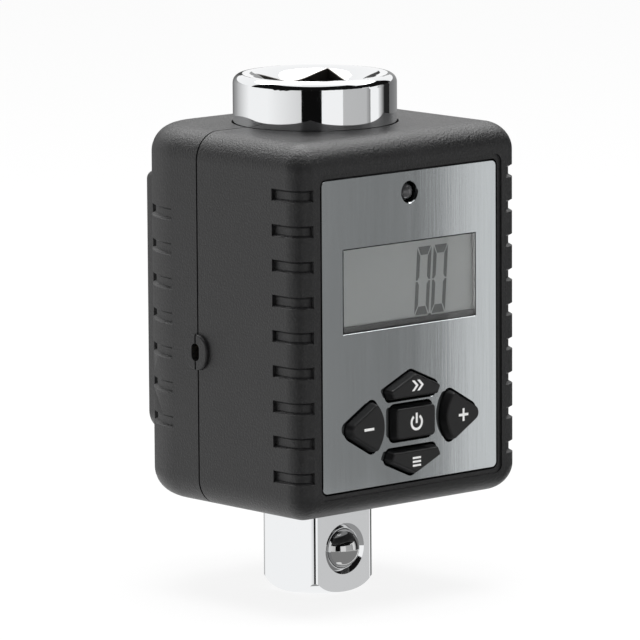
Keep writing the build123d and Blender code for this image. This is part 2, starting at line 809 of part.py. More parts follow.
def on_board(size, x, z):
    """A component soldered to the back of the board."""
    width, depth, height = size
    return block(x - width / 2, x + width / 2, board_back, board_back + depth, z - height / 2,
                 z + height / 2)


def make_controller_chip():
    return on_board(controller_size, 0, middle_z + chip_rise)


def make_amplifier_chip():
    return on_board(amplifier_size, 0, middle_z - amplifier_drop)


def make_clock_crystal():
    return on_board(crystal_size, beside_controller, middle_z + chip_rise)


def make_capacitors():
    middle = middle_z - amplifier_drop
    return [on_board(capacitor_size, beside_chip, middle + i * capacitor_pitch) for i in (-1, 0, 1)]


def make_buzzer():
    start = -half_w + wall + buzzer_wall_gap
    disc = rod_x(buzzer_r, start, start + buzzer_thick, seam_y, port_z)
    return fillet(disc.edges().filter_by(GeomType.CIRCLE), buzzer_edge_r)


# --- Cells and their contacts ---------------------------------------------------------------------
contact_low = bay_low + contact_thick
contact_high = bay_high - contact_thick


def make_cell(x, nub_up):
    """One cell. Its nub touches a flat contact, and its flat end sits on a spring."""
    low = contact_high - cell_length if nub_up else contact_low
    can_low = low if nub_up else low + cell_nub
    can = rod_z(cell_r, can_low, can_low + cell_length - cell_nub, x, cell_y)
    can = fillet(can.edges().filter_by(GeomType.CIRCLE), cell_edge_r)
    nub_low = can_low + cell_length - cell_nub if nub_up else low
    return can + rod_z(cell_nub_r, nub_low, nub_low + cell_nub, x, cell_y)


def make_cell_springs():
    coil = spring(cell_spring_r, cell_spring_wire_r, spring_length, cell_spring_turns)
    lower = Pos(-cell_pitch / 2, cell_y, contact_low) * coil
    upper = Pos(cell_pitch / 2, cell_y, contact_high - spring_length) * coil
    return [lower, upper]


def make_cell_plates():
    """The lower plate joins both cells. Each upper plate has a tail through the bay's floor."""
    y0 = cell_y - contact_width / 2
    y1 = cell_y + contact_width / 2
    x = (cell_pitch + contact_width) / 2
    plates = [block(-x, x, y0, y1, bay_low, contact_low)]
    plate = block(cell_pitch / 2 - contact_width / 2, x, y0, y1, contact_high, bay_high)
    plate += block(cell_pitch / 2 - tail_width / 2, cell_pitch / 2 + tail_width / 2, y0 - tail_length, y0,
                   contact_high, bay_high)
    return plates + both_sides(plate)


def make_battery_leads():
    """A wire from each upper contact's tail, round the shaft and along the side, to the board."""
    x = cell_pitch / 2 + tail_width / 2
    y = cell_y - contact_width / 2 - tail_length + lead_r + fit_gap
    z = contact_high + contact_thick / 2
    side = 14.6
    wire = lead([(x, y, z), (x + 3.4, y, z), (side, y - 4.4, z - 1.4), (side + 0.4, y - 11, z - 3.2),
                 (side, y - 17.5, z - 4.6), (side, board_back, z - 4.6)])
    return both_sides(wire)


def make_gauge_leads():
    """A wire from each strain gauge to the board."""
    x = gauge_across / 2 + gauge_size[0]
    z = middle_z - gauge_lead_drop
    wire = lead([(x, 0, z), (x + 3.2, 0, z), (x + 5.9, -3.6, z - 0.6), (x + 6.3, -8.6, z - 0.4),
                 (x + 6.3, board_back, z - 0.4)])
    return both_sides(wire)


def make_buzzer_lead():
    x = -half_w + wall + buzzer_wall_gap + buzzer_thick
    y = seam_y - buzzer_r / 2
    return lead([(x, y, port_z), (x + 3, y, port_z), (x + 5.2, y - 2.4, port_z - 0.5),
                 (x + 5.5, y - 7.5, port_z - 1), (x + 5.5, board_back, port_z - 1)])


# --- Battery cover --------------------------------------------------------------------------------
def make_battery_cover():
    lean = degrees(asin(cover_slope / sqrt(cover_slope ** 2 + (cover_outer - rear_depth) ** 2)))
    outline = facing_back(rear_depth) * cover_outline(0)
    hump = extrude(outline, amount=cover_outer - rear_depth, taper=lean)
    hump = fillet(hump.faces().sort_by(Axis.Y)[-1].edges(), cover_edge_r)
    cover = hump + extrude(outline, amount=rebate_floor - rear_depth)
    cover -= block(-bay_half, bay_half, rebate_floor, cover_inner, bay_low - cover_swing_gap,
                   bay_high + cover_swing_gap)
    for i in range(grip_count):
        z = cover_high - grip_inset - i * grip_pitch
        cover -= rounded_box(-grip_half, grip_half, cover_outer - grip_depth, cover_outer + grip_depth,
                             z - grip_width / 2, z + grip_width / 2, grip_width / 2 - fit_gap)
    under = rear_inner - hook_gap
    for x in (-hook_x, hook_x):
        x0, x1 = x - hook_width / 2, x + hook_width / 2
        z = cover_low + hook_gap
        cover += block(x0, x1, under - hook_thick, rebate_floor + fit_gap, z, z + hook_leg)
        cover += block(x0, x1, under - hook_thick, under, z - hook_reach, z + hook_leg)
    return cover


# --- Export ---------------------------------------------------------------------------------------
def pieces():
    """Every sub-part by its name."""
    made = {
        "drive_shaft": make_drive_shaft(),
        "detent_ball": make_detent_ball(),
        "detent_spring": make_detent_spring(),
        "strain_gauges": make_strain_gauges(),
        "front_shell": make_front_shell(),
        "rear_shell": make_rear_shell(),
        "battery_cover": make_battery_cover(),
        "housing_screws": make_housing_screws(),
        "upper_seal": make_upper_seal(),
        "lower_seal": make_lower_seal(),
        "fascia": make_fascia(),
        "display_window": make_display_window(),
        "display_panel": make_display_panel(),
        "display_frame": make_display_frame(),
        "contact_strips": make_contact_strips(),
        "status_lamp": make_status_lamp(),
        "key_switches": make_key_switches(),
        "main_board": make_main_board(),
        "board_screws": make_board_screws(),
        "controller_chip": make_controller_chip(),
        "amplifier_chip": make_amplifier_chip(),
        "clock_crystal": make_clock_crystal(),
        "capacitors": make_capacitors(),
        "buzzer": make_buzzer(),
        "left_cell": make_cell(-cell_pitch / 2, True),
        "right_cell": make_cell(cell_pitch / 2, False),
        "cell_springs": make_cell_springs(),
        "cell_plates": make_cell_plates(),
        "battery_leads": make_battery_leads(),
        "gauge_leads": make_gauge_leads(),
        "buzzer_lead": make_buzzer_lead(),
    }
    for name in keys:
        made[name + "_key"] = make_key(name)
        made[name + "_plunger"] = make_plunger(name)
    return made


os.makedirs("parts", exist_ok=True)
for name, shape in pieces().items():
    solids = shape if isinstance(shape, list) else [shape]
    flat = [solid for item in solids for solid in item.solids()]
    export_step(flat[0] if len(flat) == 1 else Compound(children=flat), f"parts/{name}.step")
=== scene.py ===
from math import cos, pi, radians, sin
from typing import NamedTuple

import bmesh
import bpy
from bpy.props import FloatProperty, FloatVectorProperty, PointerProperty
from mathutils import Matrix, Vector


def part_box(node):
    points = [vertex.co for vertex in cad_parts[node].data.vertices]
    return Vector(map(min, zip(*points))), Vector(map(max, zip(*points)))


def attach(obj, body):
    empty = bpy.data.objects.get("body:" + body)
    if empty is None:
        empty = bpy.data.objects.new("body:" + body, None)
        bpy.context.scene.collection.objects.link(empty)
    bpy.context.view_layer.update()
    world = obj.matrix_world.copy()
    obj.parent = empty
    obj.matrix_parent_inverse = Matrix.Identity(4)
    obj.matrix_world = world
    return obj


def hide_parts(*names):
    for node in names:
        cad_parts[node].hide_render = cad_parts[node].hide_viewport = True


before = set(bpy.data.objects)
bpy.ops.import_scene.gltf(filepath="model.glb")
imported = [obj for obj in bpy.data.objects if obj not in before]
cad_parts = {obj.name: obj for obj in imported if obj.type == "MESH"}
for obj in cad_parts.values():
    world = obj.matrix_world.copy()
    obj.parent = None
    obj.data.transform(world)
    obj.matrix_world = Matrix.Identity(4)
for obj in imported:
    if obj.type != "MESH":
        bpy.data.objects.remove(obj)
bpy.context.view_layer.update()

bl_info = {
    "name": "Torque Adapter Finishes",
    "version": (1, 0, 0),
    "blender": (4, 5, 0),
    "location": "View3D > Sidebar > Adapter",
    "description": "Finishes, key symbols, display digits and studio for a digital torque adapter",
    "category": "Object",
}

MM = 0.001
MICRON = 1e-6
KEY_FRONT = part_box("power_key")[0].y        # front faces of the keys


# ---------------------------------------------------------------------------------------------
# Settings that a user would change
# ---------------------------------------------------------------------------------------------
def length(name, description, default):
    """A length in metres, given in millimetres."""
    return FloatProperty(name=name, description=description, default=default * MM,
                         subtype="DISTANCE", unit="LENGTH", precision=5)


def colour(name, description, default):
    """A linear colour."""
    return FloatVectorProperty(name=name, description=description, default=default, size=3,
                               subtype="COLOR", min=0.0, max=1.0)


def amount(name, description, default, high=1.0):
    """A plain number from 0."""
    return FloatProperty(name=name, description=description, default=default, min=0.0, max=high)


def angle(name, description, default):
    """An angle in radians, given in degrees."""
    return FloatProperty(name=name, description=description, default=radians(default),
                         subtype="ANGLE", unit="ROTATION")


class HousingSettings(bpy.types.PropertyGroup):
    plastic: colour("Plastic", "Black moulding compound of the shells", (0.009, 0.009, 0.0095))
    plastic_worn: colour("Plastic, raised grain", "Shade on the tops of the moulded grain",
                         (0.017, 0.017, 0.0175))
    gloss: amount("Roughness", "Roughness of the moulded grain", 0.40)
    grain: length("Grain", "Size of the spark-eroded grain", 0.34)
    grain_depth: length("Grain depth", "Height of the grain", 0.034)


class ShaftSettings(bpy.types.PropertyGroup):
    plating: colour("Chrome", "Colour of the chrome plate", (0.86, 0.87, 0.88))
    # The colour inside the square hole is painted shade: it is far darker than unpolished steel
    # would be, and stands in for the shade in the hole.
    bare_and_painted_shade: colour("Unpolished steel in painted shade", "Steel inside the square hole, darkened with painted shade", (0.16, 0.15, 0.14))
    polish: amount("Roughness", "Roughness of the plate", 0.035)


class FasciaSettings(bpy.types.PropertyGroup):
    metal: colour("Metal", "Anodised plate", (0.505, 0.53, 0.54))
    chamfer: length("Chamfer", "Bright chamfer round the plate and its holes", 0.12)
    polish: amount("Roughness", "Roughness of the anodised plate", 0.07)


class DisplaySettings(bpy.types.PropertyGroup):
    ground: colour("Ground", "Grey ground of the display", (0.53, 0.545, 0.535))
    ink: colour("Digits", "Dark segments", (0.085, 0.09, 0.09))
    digit_width: length("Digit width", "Width of a nought", 3.0)
    digit_height: length("Digit height", "Height of a nought", 10.6)
    digit_pitch: length("Digit pitch", "From one nought to the next", 3.45)
    bar_width: length("Upright bar", "Width of an upright segment", 0.68)
    bar_height: length("Level bar", "Height of a level segment", 1.3)
    segment_gap: length("Gap", "Gap between segments", 0.2)
    slant: angle("Slant", "Lean of the digits", 4.0)
    first_x: length("First digit", "Left edge of the first nought from the middle", 1.59)
    base_rise: length("Base", "Foot of the digits above the window's lower edge", 1.1)
    point_radius: length("Point", "Radius of the decimal point", 0.33)


class KeySettings(bpy.types.PropertyGroup):
    rubber: colour("Rubber", "Black key rubber", (0.005, 0.005, 0.0054))
    print_white: colour("Symbol ink", "White printed symbols", (0.86, 0.86, 0.85))
    bar: length("Bar", "Length of the bars of plus and minus", 2.0)
    stroke: length("Stroke", "Width of a symbol's lines", 0.40)
    ring_radius: length("Ring", "Middle radius of the power symbol", 1.08)
    ring_gap: angle("Ring gap", "Opening of the power symbol on each side of its bar", 34)
    ink: length("Ink", "Thickness of the printed ink", 0.03)


class StudioSettings(bpy.types.PropertyGroup):
    azimuth: angle("Azimuth", "Camera round the adapter, from straight ahead", -41.8034)
    elevation: angle("Elevation", "Camera above the horizon", 8.947)
    roll: angle("Roll", "Camera's roll", -0.36)
    distance: length("Distance", "Camera to its aim", 1043.903)
    lens: FloatProperty(name="Lens", description="Focal length in millimetres on a 36 mm sensor",
                        default=375.30, min=1.0)
    aim_height: length("Aim height", "Aim above the drive's tip", 45.0)
    aim_right: length("Aim to the right", "Shift of the aim across the view", 0.581)
    aim_up: length("Aim up", "Shift of the aim up the view", -2.342)
    sky: amount("Ambient", "Strength of the plain light from all round", 0.6, 10.0)
    lamp_power: FloatProperty(name="Top light", description="Power of the soft light overhead",
                              default=5.0, unit="POWER")
    lamp_size: length("Top light's size", "Diameter of the soft light", 620.0)
    lamp_height: length("Top light's height", "Soft light above the drive's tip", 750.0)
    paper: amount("Floor", "Share of the floor's white that takes no shadow", 0.86)
    card_radius: length("Card distance", "Adapter to the cards round it", 620.0)


SETTINGS = {
    "adapter_housing": HousingSettings,
    "adapter_shaft": ShaftSettings,
    "adapter_fascia": FasciaSettings,
    "adapter_display": DisplaySettings,
    "adapter_keys": KeySettings,
    "adapter_studio": StudioSettings,
}


# ---------------------------------------------------------------------------------------------
# Node helpers
# ---------------------------------------------------------------------------------------------
def add_node(tree, kind, inputs=None, **attributes):
    """A node with its attributes and input values set; an input may be another node's output."""
    node = tree.nodes.new(kind)
    for key, value in attributes.items():
        setattr(node, key, value)
    for key, value in (inputs or {}).items():
        socket = node.inputs[key]
        if isinstance(value, bpy.types.NodeSocket):
            tree.links.new(value, socket)
        elif socket.type == "RGBA" and len(value) == 3:
            socket.default_value = (*value, 1.0)
        else:
            socket.default_value = value
    return node


def maths(tree, operation, a, b=0.0, clamp=False):
    node = add_node(tree, "ShaderNodeMath", {0: a, 1: b}, operation=operation, use_clamp=clamp)
    return node.outputs[0]


def blend_colours(tree, share, a, b):
    """Colour a where the share is 0, and b where it is 1."""
    node = add_node(tree, "ShaderNodeMix", {0: share, 6: a, 7: b}, data_type="RGBA")
    return node.outputs[2]


def ramp(tree, share, low, high, at_low=0.0, at_high=1.0):
    """A value mapped from one range to another, and held at its ends."""
    node = add_node(tree, "ShaderNodeMapRange", {0: share, 1: low, 2: high, 3: at_low, 4: at_high})
    return node.outputs[0]


def mapped(tree, vector, **change):
    """A vector turned or stretched by a Mapping node: Rotation or Scale."""
    return add_node(tree, "ShaderNodeMapping", {"Vector": vector, **change}).outputs[0]


def split_xyz(tree, vector):
    """The X, Y and Z outputs of a vector."""
    return add_node(tree, "ShaderNodeSeparateXYZ", {0: vector}).outputs


def noise(tree, vector, scale, detail=2.0, roughness=0.5):
    node = add_node(tree, "ShaderNodeTexNoise", {"Vector": vector, "Scale": scale, "Detail": detail,
                                                 "Roughness": roughness})
    return node.outputs[0]


def new_group(name, inputs, outputs):
    """An empty node group with its sockets, and the ends to link to."""
    tree = bpy.data.node_groups.new(name, "ShaderNodeTree")
    for label, kind, default in inputs:
        socket = tree.interface.new_socket(label, in_out="INPUT", socket_type=kind)
        if default is not None:
            socket.default_value = default
    for label, kind in outputs:
        tree.interface.new_socket(label, in_out="OUTPUT", socket_type=kind)
    return tree, tree.nodes.new("NodeGroupInput"), tree.nodes.new("NodeGroupOutput")


def feed(tree, node, **sources):
    """Links outputs to a node's inputs by their names, with _ for each space."""
    for key, source in sources.items():
        tree.links.new(source, node.inputs[key.replace("_", " ")])


COLOUR, VALUE, VECTOR = "NodeSocketColor", "NodeSocketFloat", "NodeSocketVector"


def grain_group():
    """Moulded grain: pits and crests, with the shade and the roughness that go with them."""
    tree, given, made = new_group(
        "moulded_grain",
        [("Vector", VECTOR, None), ("Size", VALUE, 0.0003), ("Low", COLOUR, (0, 0, 0, 1)),
         ("High", COLOUR, (1, 1, 1, 1)), ("Roughness", VALUE, 0.5), ("Spread", VALUE, 0.12)],
        [("Color", COLOUR), ("Roughness", VALUE), ("Height", VALUE)])
    scale = maths(tree, "DIVIDE", 1.0, given.outputs["Size"])
    crests = noise(tree, given.outputs["Vector"], scale, 2.0, 0.6)
    fine = noise(tree, given.outputs["Vector"], maths(tree, "MULTIPLY", scale, 2.7), 1.0)
    cloud = noise(tree, given.outputs["Vector"], maths(tree, "MULTIPLY", scale, 0.035), 3.0)
    height = maths(tree, "ADD", ramp(tree, crests, 0.38, 0.68), maths(tree, "MULTIPLY", fine, 0.35))
    on_crests = ramp(tree, crests, 0.5, 0.75, 0.0, 0.8)
    in_clouds = ramp(tree, cloud, 0.4, 0.7, 0.0, 0.3)
    shade = blend_colours(tree, maths(tree, "ADD", on_crests, in_clouds), given.outputs["Low"],
                          given.outputs["High"])
    uneven = maths(tree, "SUBTRACT", cloud, crests)
    change = maths(tree, "MULTIPLY", uneven, given.outputs["Spread"])
    feed(tree, made, Color=shade, Height=height,
         Roughness=maths(tree, "ADD", given.outputs["Roughness"], change, clamp=True))
    return tree


def lines_group():
    """Fine lines drawn one way: the vector comes in already stretched along them."""
    tree, given, made = new_group(
        "drawn_lines",
        [("Vector", VECTOR, None), ("Low", COLOUR, (0, 0, 0, 1)), ("High", COLOUR, (1, 1, 1, 1)),
         ("Roughness", VALUE, 0.3), ("Spread", VALUE, 0.1)],
        [("Color", COLOUR), ("Roughness", VALUE), ("Height", VALUE)])
    lines = noise(tree, given.outputs["Vector"], 1.0, 4.0, 0.65)
    broad = noise(tree, given.outputs["Vector"], 0.13, 2.0)
    shade = blend_colours(tree, ramp(tree, lines, 0.3, 0.7), given.outputs["Low"],
                          given.outputs["High"])
    uneven = maths(tree, "SUBTRACT", broad, 0.5)
    change = maths(tree, "MULTIPLY", uneven, given.outputs["Spread"])
    feed(tree, made, Color=shade, Height=lines,
         Roughness=maths(tree, "ADD", given.outputs["Roughness"], change, clamp=True))
    return tree


def handling_group():
    """Faint uneven polish, as wiping and handling leave it."""
    tree, given, made = new_group(
        "handling_marks",
        [("Vector", VECTOR, None), ("Roughness", VALUE, 0.05), ("Marks", VALUE, 0.05)],
        [("Roughness", VALUE), ("Height", VALUE)])
    patches = noise(tree, given.outputs["Vector"], 170.0, 4.0, 0.6)
    hairs = noise(tree, given.outputs["Vector"], 5200.0, 2.0)
    mark = maths(tree, "MULTIPLY", ramp(tree, patches, 0.48, 0.72), given.outputs["Marks"])
    feed(tree, made, Roughness=maths(tree, "ADD", given.outputs["Roughness"], mark),
         Height=maths(tree, "ADD", patches, maths(tree, "MULTIPLY", hairs, 0.04)))
    return tree


def band_group():
    """A soft-edged mask that is 1 between two heights on an axis."""
    tree, given, made = new_group(
        "band_between", [("Value", VALUE, 0.0), ("From", VALUE, 0.0), ("To", VALUE, 1.0),
                         ("Edge", VALUE, 0.0001)], [("Mask", VALUE)])
    value, low, high, edge = (given.outputs[name] for name in ("Value", "From", "To", "Edge"))
    rise = ramp(tree, value, low, maths(tree, "ADD", low, edge))
    fall = ramp(tree, value, high, maths(tree, "ADD", high, edge))
    feed(tree, made, Mask=maths(tree, "SUBTRACT", rise, fall, clamp=True))
    return tree


GROUP_MAKERS = {"grain": grain_group, "lines": lines_group, "handling": handling_group,
                "band": band_group}
GROUPS = {}                                 # each shared effect, once it is built


def place_group(tree, name, inputs):
    """A shared effect placed in a material, with its values or links."""
    if name not in GROUPS:
        GROUPS[name] = GROUP_MAKERS[name]()
    return add_node(tree, "ShaderNodeGroup", inputs, node_tree=GROUPS[name])


def band(tree, value, start, end, edge):
    """A mask that is 1 while the value lies between start and end."""
    return place_group(tree, "band", {"Value": value, "From": start, "To": end,
                                      "Edge": edge}).outputs[0]


def begin_material(name, **constants):
    """A material with a Principled BSDF whose constants are set on its own sockets."""
    material = bpy.data.materials.new(name)
    material.use_nodes = True
    tree = material.node_tree
    shader = tree.nodes["Principled BSDF"]
    for key, value in constants.items():
        socket = shader.inputs[key.replace("_", " ")]
        socket.default_value = (*value, 1.0) if socket.type == "RGBA" and len(value) == 3 else value
    where = tree.nodes.new("ShaderNodeTexCoord").outputs["Object"]
    return material, tree, shader, where


def bump(tree, shader, height, depth):
    """Relief of the given depth in metres."""
    node = add_node(tree, "ShaderNodeBump", {"Height": height, "Distance": depth, "Strength": 1.0})
    feed(tree, shader, Normal=node.outputs["Normal"])


def handled(tree, shader, where, roughness, marks, depth):
    """Faint uneven polish and relief over the whole surface."""
    polish = place_group(tree, "handling", {"Vector": where, "Roughness": roughness,
                                            "Marks": marks})
    feed(tree, shader, Roughness=polish.outputs["Roughness"])
    bump(tree, shader, polish.outputs["Height"], depth)


def grained(name, low, high, size, depth, roughness, spread=0.12):
    """Any moulded, cast or printed surface with a fine grain."""
    material, tree, shader, where = begin_material(name)
    grain = place_group(tree, "grain", {"Vector": where, "Size": size, "Low": low, "High": high,
                                        "Roughness": roughness, "Spread": spread})
    feed(tree, shader, Base_Color=grain.outputs["Color"], Roughness=grain.outputs["Roughness"])
    bump(tree, shader, grain.outputs["Height"], depth)
    return material


def drawn(name, low, high, stretch, depth, roughness, spread=0.1, metallic=1.0):
    """A surface with fine lines: stretch is how often they change along each axis, per metre."""
    material, tree, shader, where = begin_material(name, Metallic=metallic)
    lines = place_group(tree, "lines", {"Vector": mapped(tree, where, Scale=stretch), "Low": low,
                                        "High": high, "Roughness": roughness, "Spread": spread})
    feed(tree, shader, Base_Color=lines.outputs["Color"], Roughness=lines.outputs["Roughness"])
    bump(tree, shader, lines.outputs["Height"], depth)
    return material


def scaled(colour_value, factor):
    return tuple(channel * factor for channel in colour_value)


def paint(material, *names):
    """Gives CAD nodes a material and leaves their meshes alone."""
    for name in names:
        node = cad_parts[name]
        node.data.materials.clear()
        node.data.materials.append(material)


class Finish(NamedTuple):
    """A plain finish of CAD nodes, with one shade in the grain's or lines' lows and one on top."""
    name: str
    low: tuple
    high: tuple
    pattern: float | tuple      # grain's size in millimetres, or lines per metre along each axis
    depth: float                # of the relief, in micrometres
    roughness: float
    nodes: tuple
    metallic: float = 1.0       # of a finish with lines


def paint_finishes(finishes):
    for finish in finishes:
        look = (finish.name, finish.low, finish.high)
        if isinstance(finish.pattern, tuple):
            material = drawn(*look, finish.pattern, finish.depth * MICRON, finish.roughness,
                             metallic=finish.metallic)
        else:
            material = grained(*look, finish.pattern * MM, finish.depth * MICRON, finish.roughness)
        paint(material, *finish.nodes)


def grey(shade):
    return (shade, shade, shade)


# ---------------------------------------------------------------------------------------------
# Mesh helpers
# ---------------------------------------------------------------------------------------------
def finish_piece(name, mesh, material, body):
    """Turns a bmesh into a piece that rides on a body."""
    data = bpy.data.meshes.new(name)
    mesh.to_mesh(data)
    mesh.free()
    data.materials.append(material)
    piece = bpy.data.objects.new(name, data)
    bpy.context.scene.collection.objects.link(piece)
    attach(piece, body)
    return piece


def flat_shape(mesh, outline, front, thickness):
    """Adds a thin plate from an outline of X and Z points, its face to the front."""
    verts = [mesh.verts.new((x, front, z)) for x, z in outline]
    face = mesh.faces.new(verts)
    made = bmesh.ops.extrude_face_region(mesh, geom=[face])
    moved = [item for item in made["geom"] if isinstance(item, bmesh.types.BMVert)]
    bmesh.ops.translate(mesh, verts=moved, vec=(0, thickness, 0))


def tidy_normals(mesh):
    bmesh.ops.remove_doubles(mesh, verts=mesh.verts, dist=1e-7)
    bmesh.ops.recalc_face_normals(mesh, faces=mesh.faces)


def rectangle(x, z, width, height):
    """The outline of a rectangle round a point."""
    half_w, half_h = width / 2, height / 2
    return [(x - half_w, z - half_h), (x + half_w, z - half_h), (x + half_w, z + half_h),
            (x - half_w, z + half_h)]


def arc_points(x, z, radius, start, end, steps):
    """Points along an arc, with its angles from straight up and clockwise."""
    turns = [start + (end - start) * i / steps for i in range(steps + 1)]
    return [(x + radius * sin(turn), z + radius * cos(turn)) for turn in turns]


def arc_band(x, z, radius, width, start, end, steps):
    """The outline of a ring's stretch."""
    outer = arc_points(x, z, radius + width / 2, start, end, steps)
    inner = arc_points(x, z, radius - width / 2, start, end, steps)
    return outer + inner[::-1]


def centre_of(node):
    low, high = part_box(node)
    return (low + high) / 2


# ---------------------------------------------------------------------------------------------
# Housing
# ---------------------------------------------------------------------------------------------
HOUSING_FINISHES = (
    Finish("blackened_screws", grey(0.10), grey(0.2), (900, 900, 900), 4, 0.38,
           ("housing_screws", "board_screws")),
    Finish("seal_rubber", grey(0.012), grey(0.03), 0.2, 6, 0.7, ("upper_seal", "lower_seal")),
)
GRAIN_SPREAD = 0.16                 # how much the roughness changes over the moulded grain


class ADAPTER_OT_housing(bpy.types.Operator):
    """Finish the two shells and the battery cover in grained black plastic, and their screws"""
    bl_idname = "adapter.housing"
    bl_label = "Housing"

    def execute(self, context):
        s = context.scene.adapter_housing
        shell = grained("shell_plastic", s.plastic, s.plastic_worn, s.grain, s.grain_depth, s.gloss,
                        GRAIN_SPREAD)
        paint(shell, "front_shell", "rear_shell", "battery_cover")
        paint_finishes(HOUSING_FINISHES)
        return {"FINISHED"}


# ---------------------------------------------------------------------------------------------
# Shaft and ball
# ---------------------------------------------------------------------------------------------
SOCKET_TURN = radians(-9.5)         # the square hole's turn from the square drive
SOCKET_HALF = 6.58 * MM             # half the square hole's width, and a little more
SOCKET_BOTTOM = 65.4 * MM
SOCKET_SHADE = 0.2 * MM             # how softly the unpolished steel and its painted shade begin
SOCKET_ROUGHNESS = 0.3              # added inside the square hole

SHAFT_FINISHES = (
    Finish("spring_wire", (0.3, 0.3, 0.31), grey(0.5), (600, 600, 4000), 3, 0.3,
           ("detent_spring", "cell_springs")),
    Finish("gauge_film", (0.42, 0.2, 0.04), (0.62, 0.34, 0.1), 0.6, 4, 0.3, ("strain_gauges",)),
)


def chrome_material(settings):
    """Mirror chrome, with the broached square hole left unpolished and darkened by painted shade.
    """
    material, tree, shader, where = begin_material("chrome_plate", Metallic=1.0)
    x, y, z = split_xyz(tree, mapped(tree, where, Rotation=(0, 0, -SOCKET_TURN)))
    across = maths(tree, "MAXIMUM", maths(tree, "ABSOLUTE", x), maths(tree, "ABSOLUTE", y))
    inside = band(tree, across, -1.0, SOCKET_HALF, SOCKET_SHADE)
    above = ramp(tree, z, SOCKET_BOTTOM, SOCKET_BOTTOM + SOCKET_SHADE)
    hole = maths(tree, "MULTIPLY", inside, above)
    polish = place_group(tree, "handling", {"Vector": where, "Roughness": settings.polish,
                                            "Marks": 0.03})
    dulled = maths(tree, "ADD", polish.outputs[0], maths(tree, "MULTIPLY", hole, SOCKET_ROUGHNESS))
    # Inside the square hole the colour darkens far below any steel as painted shade; the added
    # roughness is the unpolished steel.
    feed(tree, shader, Base_Color=blend_colours(tree, hole, settings.plating, settings.bare_and_painted_shade),
         Roughness=dulled)
    bump(tree, shader, polish.outputs["Height"], 2 * MICRON)
    return material


class ADAPTER_OT_shaft(bpy.types.Operator):
    """Finish the drive shaft in chrome, the ball in polished steel and what sits on the shaft"""
    bl_idname = "adapter.shaft"
    bl_label = "Shaft and ball"

    def execute(self, context):
        paint(chrome_material(context.scene.adapter_shaft), "drive_shaft")
        steel, tree, shader, where = begin_material("ball_steel", Metallic=1.0,
                                                    Base_Color=grey(0.62))
        handled(tree, shader, where, 0.05, 0.06, 3 * MICRON)
        paint(steel, "detent_ball")
        paint_finishes(SHAFT_FINISHES)
        return {"FINISHED"}


# ---------------------------------------------------------------------------------------------
# Fascia and lamp
# ---------------------------------------------------------------------------------------------
WELD = 0.002 * MM                   # vertices nearer than this are one
FLAT_ANGLE = radians(0.5)           # faces within this are one flat face
EDGE_ANGLE = radians(60)            # an edge at least this sharp gets the chamfer
BRUSHING = (2600, 2600, 90)         # lines per metre, drawn upright


class ADAPTER_OT_fascia(bpy.types.Operator):
    """Rebuild the fascia with a bright chamfer round its edge and its holes"""
    bl_idname = "adapter.fascia"
    bl_label = "Fascia"

    def execute(self, context):
        s = context.scene.adapter_fascia
        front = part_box("fascia")[0].y
        mesh = bmesh.new()
        mesh.from_mesh(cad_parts["fascia"].data)
        bmesh.ops.remove_doubles(mesh, verts=mesh.verts, dist=WELD)
        bmesh.ops.dissolve_limit(mesh, angle_limit=FLAT_ANGLE, verts=mesh.verts, edges=mesh.edges)
        mesh.normal_update()
        edges = [edge for edge in mesh.edges
                 if all(abs(vert.co.y - front) < MICRON for vert in edge.verts)
                 and len(edge.link_faces) == 2 and edge.calc_face_angle(0) > EDGE_ANGLE]
        bmesh.ops.bevel(mesh, geom=edges, offset=s.chamfer, segments=1, profile=0.5,
                        affect="EDGES", material=-1, clamp_overlap=False)
        bmesh.ops.triangulate(mesh, faces=mesh.faces)
        metal = drawn("anodised_plate", scaled(s.metal, 0.97), scaled(s.metal, 1.03), BRUSHING,
                      1.2 * MICRON, s.polish, 0.06)
        plate = finish_piece("fascia_plate", mesh, metal, "housing")
        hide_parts("fascia")
        lens, tree, shader, where = begin_material("lamp_lens", Base_Color=(0.06, 0.06, 0.062),
                                                   Coat_Weight=0.6, Coat_Roughness=0.04)
        handled(tree, shader, where, 0.12, 0.08, 2 * MICRON)
        paint(lens, "status_lamp")
        return {"FINISHED"}


# ---------------------------------------------------------------------------------------------
# Display
# ---------------------------------------------------------------------------------------------
DIGITS = 2
INK_THICK = 0.03 * MM               # printed segments on the display
POINT_STEPS = 20

DISPLAY_FINISHES = (
    Finish("frame_plastic", grey(0.03), grey(0.05), 0.3, 4, 0.5, ("display_frame",)),
    Finish("layered_rubber", (0.30, 0.08, 0.08), (0.62, 0.5, 0.46), (6000, 60, 60), 1, 0.6,
           ("contact_strips",), metallic=0.0),
)


def nought(x, z, s):
    """The six bars of a seven-segment nought, with its lower left corner at x, z."""
    w, h, bw, bh, gap = s.digit_width, s.digit_height, s.bar_width, s.bar_height, s.segment_gap
    half = h / 2
    point = bw * 0.9                # how far the upright bars taper at the middle
    upright = [(0, gap / 2), (bw / 2, gap / 2), (bw, point), (bw, half - bh - gap), (0, half - gap)]
    level = [(gap, 0), (w - gap, 0), (w - bw - gap / 2, -bh), (bw + gap / 2, -bh)]
    shapes = []
    for up in (1, -1):
        for side in (1, -1):
            shapes.append([(px if side > 0 else w - px, half + up * pz) for px, pz in upright])
        shapes.append([(px, half + up * (half + pz)) for px, pz in level])
    lean = sin(s.slant)
    return [[(x + px + lean * pz, z + pz) for px, pz in shape] for shape in shapes]


def digit_shapes(base, s):
    """Both noughts and the point between their feet, standing on the given height."""
    shapes = []
    for i in range(DIGITS):
        shapes += nought(s.first_x + i * s.digit_pitch, base, s)
    between = s.first_x + (s.digit_pitch + s.digit_width) / 2
    shapes.append(arc_points(between, base - s.point_radius * 0.7, s.point_radius, 0,
                             2 * pi * (1 - 1 / POINT_STEPS), POINT_STEPS - 1))
    return shapes


